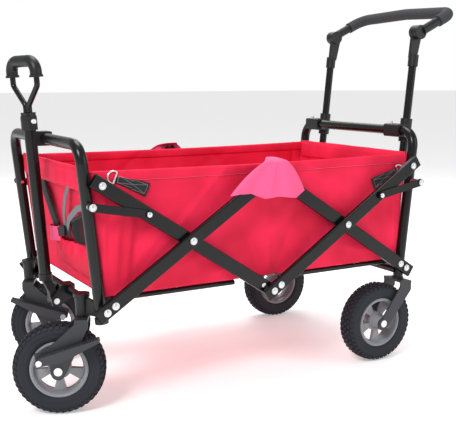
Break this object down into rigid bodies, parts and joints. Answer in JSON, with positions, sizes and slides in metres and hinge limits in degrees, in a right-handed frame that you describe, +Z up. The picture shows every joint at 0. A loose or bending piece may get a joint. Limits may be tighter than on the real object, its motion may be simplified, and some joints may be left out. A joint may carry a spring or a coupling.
{
  "type": "folding camp wagon",
  "caption": "Folding camp wagon: cloth basket on scissor-action metal frames, swivel casters with brakes, telescoping pull handle and a height-adjustable push bar.",
  "frame": {"origin": "centre of the whole wagon's footprint, on the ground under the wheels", "axes": "+X from the pull handle towards the push bar, +Y across the wagon, +Z up"},
  "size_m": [1.199, 0.5668, 0.903],
  "materials": {
    "frame_black": "black powder coat, satin",
    "rivet_steel": "bright zinc-plated rivets and bolts",
    "charcoal_plastic": "moulded charcoal plastic",
    "caster_grey": "moulded mid-grey plastic",
    "tyre_rubber": "soft moulded rubber with block tread",
    "rim_grey": "moulded grey plastic, slight sheen",
    "canvas_red": "coated woven polyester, crimson",
    "webbing_black": "woven black webbing",
    "grip_foam": "soft foam sleeve",
    "button_white": "white moulded button"
  },
  "bodies": {
    "front_frame": {"front_u_frame": "frame_black", "front_cross_tube": "frame_black", "front_caster_housings": "charcoal_plastic", "front_ferrules": "charcoal_plastic", "front_pivot_pins": "rivet_steel", "handle_knuckle": "charcoal_plastic", "handle_clip": "charcoal_plastic", "basket_front_wall": "canvas_red"},
    "front_lower_bars": {"front_lower_bars": "frame_black", "front_lower_rivets": "rivet_steel"},
    "front_cross_bars": {"front_cross_bars": "frame_black", "front_cross_rivets": "rivet_steel"},
    "rear_lower_bars": {"rear_lower_bars": "frame_black", "rear_lower_rivets": "rivet_steel"},
    "rear_cross_bars": {"rear_cross_bars": "frame_black", "rear_cross_rivets": "rivet_steel"},
    "rear_frame": {"rear_u_frame": "frame_black", "rear_cross_tube": "frame_black", "rear_pivot_pins": "rivet_steel", "rear_ferrules": "charcoal_plastic", "rear_forks": "caster_grey", "rear_axles": "rivet_steel", "push_clamps": "charcoal_plastic", "basket_rear_wall": "canvas_red"},
    "front_stay_links": {"front_stay_links": "frame_black"},
    "rear_stay_links": {"rear_stay_links": "frame_black"},
    "front_floor_rails": {"front_floor_rails": "frame_black"},
    "rear_floor_rails": {"rear_floor_rails": "frame_black"},
    "apex_covers": {"apex_covers": "canvas_red"},
    "basket": {"basket_sides": "canvas_red", "basket_floor": "canvas_red", "front_strap_patches": "webbing_black", "rear_strap_patches": "webbing_black"},
    "pull_handle": {"pull_end_fitting": "charcoal_plastic", "pull_tube": "frame_black", "pull_collar": "charcoal_plastic"},
    "pull_grip": {"pull_loop": "frame_black", "pull_grip": "charcoal_plastic"},
    "pull_button": {"pull_button": "button_white"},
    "push_tubes": {"push_tubes": "frame_black", "push_sleeves": "charcoal_plastic"},
    "push_bar": {"push_connectors": "charcoal_plastic", "push_grip_tube": "frame_black", "push_grip_foam": "grip_foam"},
    "push_button_near": {"push_button_near": "button_white"},
    "push_button_far": {"push_button_far": "button_white"},
    "caster_near": {"caster_fork_near": "caster_grey", "caster_bolts_near": "rivet_steel"},
    "brake_pedal_near": {"brake_pedal_near": "caster_grey"},
    "front_wheel_near": {"front_tyre_near": "tyre_rubber", "front_rim_near": "rim_grey"},
    "rear_wheel_near": {"rear_tyre_near": "tyre_rubber", "rear_rim_near": "rim_grey"},
    "caster_far": {"caster_fork_far": "caster_grey", "caster_bolts_far": "rivet_steel"},
    "brake_pedal_far": {"brake_pedal_far": "caster_grey"},
    "front_wheel_far": {"front_tyre_far": "tyre_rubber", "front_rim_far": "rim_grey"},
    "rear_wheel_far": {"rear_tyre_far": "tyre_rubber", "rear_rim_far": "rim_grey"}
  },
  "joints": [
    {"name": "fold", "type": "hinge", "parent": "front_frame", "child": "front_lower_bars", "pos_m": [-0.43543, 0, 0.235], "axis": [0, -1, 0], "range_deg": [0, 45]},
    {"name": "front_bar_crossing", "type": "hinge", "parent": "front_lower_bars", "child": "front_cross_bars", "pos_m": [-0.23545, 0, 0.36587], "axis": [0, -1, 0], "range_deg": [-79.63, 0]},
    {"name": "apex_pivot", "type": "hinge", "parent": "front_lower_bars", "child": "rear_lower_bars", "pos_m": [-0.02743, 0, 0.50199], "axis": [0, -1, 0], "range_deg": [-79.63, 0]},
    {"name": "rear_bar_crossing", "type": "hinge", "parent": "rear_lower_bars", "child": "rear_cross_bars", "pos_m": [0.18059, 0, 0.36587], "axis": [0, -1, 0], "range_deg": [0, 79.63]},
    {"name": "rear_frame_pivot", "type": "hinge", "parent": "rear_lower_bars", "child": "rear_frame", "pos_m": [0.38057, 0, 0.235], "axis": [0, -1, 0], "range_deg": [0, 45.2]},
    {"name": "front_stay_link_pivot", "type": "hinge", "parent": "front_frame", "child": "front_stay_links", "pos_m": [-0.45829, 0, 0.454], "axis": [0, -1, 0], "range_deg": [0, 85]},
    {"name": "rear_stay_link_pivot", "type": "hinge", "parent": "rear_frame", "child": "rear_stay_links", "pos_m": [0.40343, 0, 0.454], "axis": [0, -1, 0], "range_deg": [-85, 0]},
    {"name": "front_rail_hinge", "type": "hinge", "parent": "front_frame", "child": "front_floor_rails", "pos_m": [-0.41343, 0, 0.246], "axis": [0, -1, 0], "range_deg": [0, 75.35]},
    {"name": "rear_rail_hinge", "type": "hinge", "parent": "rear_frame", "child": "rear_floor_rails", "pos_m": [0.35857, 0, 0.246], "axis": [0, -1, 0], "range_deg": [-75.35, 0]},
    {"name": "apex_cover_hang", "type": "hinge", "parent": "front_lower_bars", "child": "apex_covers", "pos_m": [-0.02743, 0, 0.50199], "axis": [0, -1, 0], "range_deg": [-39.92, 0], "deforming": ["apex_covers"]},
    {"name": "basket_hang", "type": "hinge", "parent": "front_cross_bars", "child": "basket", "pos_m": [-0.02743, 0, 0.22974], "axis": [0, -1, 0], "range_deg": [0, 39.92], "deforming": ["basket_sides", "basket_floor", "front_strap_patches", "rear_strap_patches"]},
    {"name": "caster_swivel_near", "type": "hinge", "parent": "front_frame", "child": "caster_near", "pos_m": [-0.45943, -0.19, 0.23], "axis": [0, 0, 1], "continuous": true},
    {"name": "front_wheel_near_roll", "type": "hinge", "parent": "caster_near", "child": "front_wheel_near", "pos_m": [-0.50475, -0.16887, 0.1], "axis": [-0.4226, -0.9063, 0], "continuous": true},
    {"name": "brake_pedal_near_press", "type": "hinge", "parent": "caster_near", "child": "brake_pedal_near", "pos_m": [-0.53737, -0.15366, 0.128], "axis": [0.4226, 0.9063, 0], "range_deg": [0, 9]},
    {"name": "rear_wheel_near_roll", "type": "hinge", "parent": "rear_frame", "child": "rear_wheel_near", "pos_m": [0.30607, -0.235, 0.1], "axis": [0, 1, 0], "continuous": true},
    {"name": "caster_swivel_far", "type": "hinge", "parent": "front_frame", "child": "caster_far", "pos_m": [-0.45943, 0.19, 0.23], "axis": [0, 0, 1], "continuous": true},
    {"name": "front_wheel_far_roll", "type": "hinge", "parent": "caster_far", "child": "front_wheel_far", "pos_m": [-0.41375, 0.16966, 0.1], "axis": [0.4067, 0.9135, 0], "continuous": true},
    {"name": "brake_pedal_far_press", "type": "hinge", "parent": "caster_far", "child": "brake_pedal_far", "pos_m": [-0.38087, 0.15502, 0.128], "axis": [-0.4067, -0.9135, 0], "range_deg": [0, 9]},
    {"name": "rear_wheel_far_roll", "type": "hinge", "parent": "rear_frame", "child": "rear_wheel_far", "pos_m": [0.30607, 0.235, 0.1], "axis": [0, 1, 0], "continuous": true},
    {"name": "pull_handle_tilt", "type": "hinge", "parent": "front_frame", "child": "pull_handle", "pos_m": [-0.45843, 0, 0.203], "axis": [0, -1, 0], "range_deg": [0, 100]},
    {"name": "pull_handle_extend", "type": "slide", "parent": "pull_handle", "child": "pull_grip", "axis": [-0.0706, 0, 0.9975], "range_m": [0, 0.29]},
    {"name": "pull_button_press", "type": "slide", "parent": "pull_handle", "child": "pull_button", "axis": [-0.2582, 0.9659, -0.0183], "range_m": [0, 0.0025], "stiffness_N_per_m": 400},
    {"name": "push_bar_height", "type": "slide", "parent": "rear_frame", "child": "push_tubes", "axis": [0.1038, 0, 0.9946], "range_m": [-0.13, 0]},
    {"name": "push_bar_tilt", "type": "hinge", "parent": "push_tubes", "child": "push_bar", "pos_m": [0.46957, 0, 0.828], "axis": [0, -1, 0], "range_deg": [-80, 60]},
    {"name": "push_button_near_press", "type": "slide", "parent": "rear_frame", "child": "push_button_near", "axis": [0, 0, -1], "range_m": [0, 0.0025], "stiffness_N_per_m": 400},
    {"name": "push_button_far_press", "type": "slide", "parent": "rear_frame", "child": "push_button_far", "axis": [0, 0, -1], "range_m": [0, 0.0025], "stiffness_N_per_m": 400}
  ],
  "couplings": [
    {"joint": "front_bar_crossing", "follows": "fold", "ratio": -1.7652},
    {"joint": "apex_pivot", "follows": "fold", "ratio": -1.7652},
    {"joint": "rear_bar_crossing", "follows": "fold", "ratio": 1.7652},
    {"joint": "rear_frame_pivot", "follows": "fold", "ratio": 1},
    {"joint": "front_stay_link_pivot", "follows": "fold", "ratio": 1.8845},
    {"joint": "rear_stay_link_pivot", "follows": "fold", "ratio": -1.8845},
    {"joint": "front_rail_hinge", "follows": "fold", "ratio": 1.67},
    {"joint": "rear_rail_hinge", "follows": "fold", "ratio": -1.67},
    {"joint": "apex_cover_hang", "follows": "fold", "ratio": -0.88258},
    {"joint": "basket_hang", "follows": "fold", "ratio": 0.88258}
  ]
}
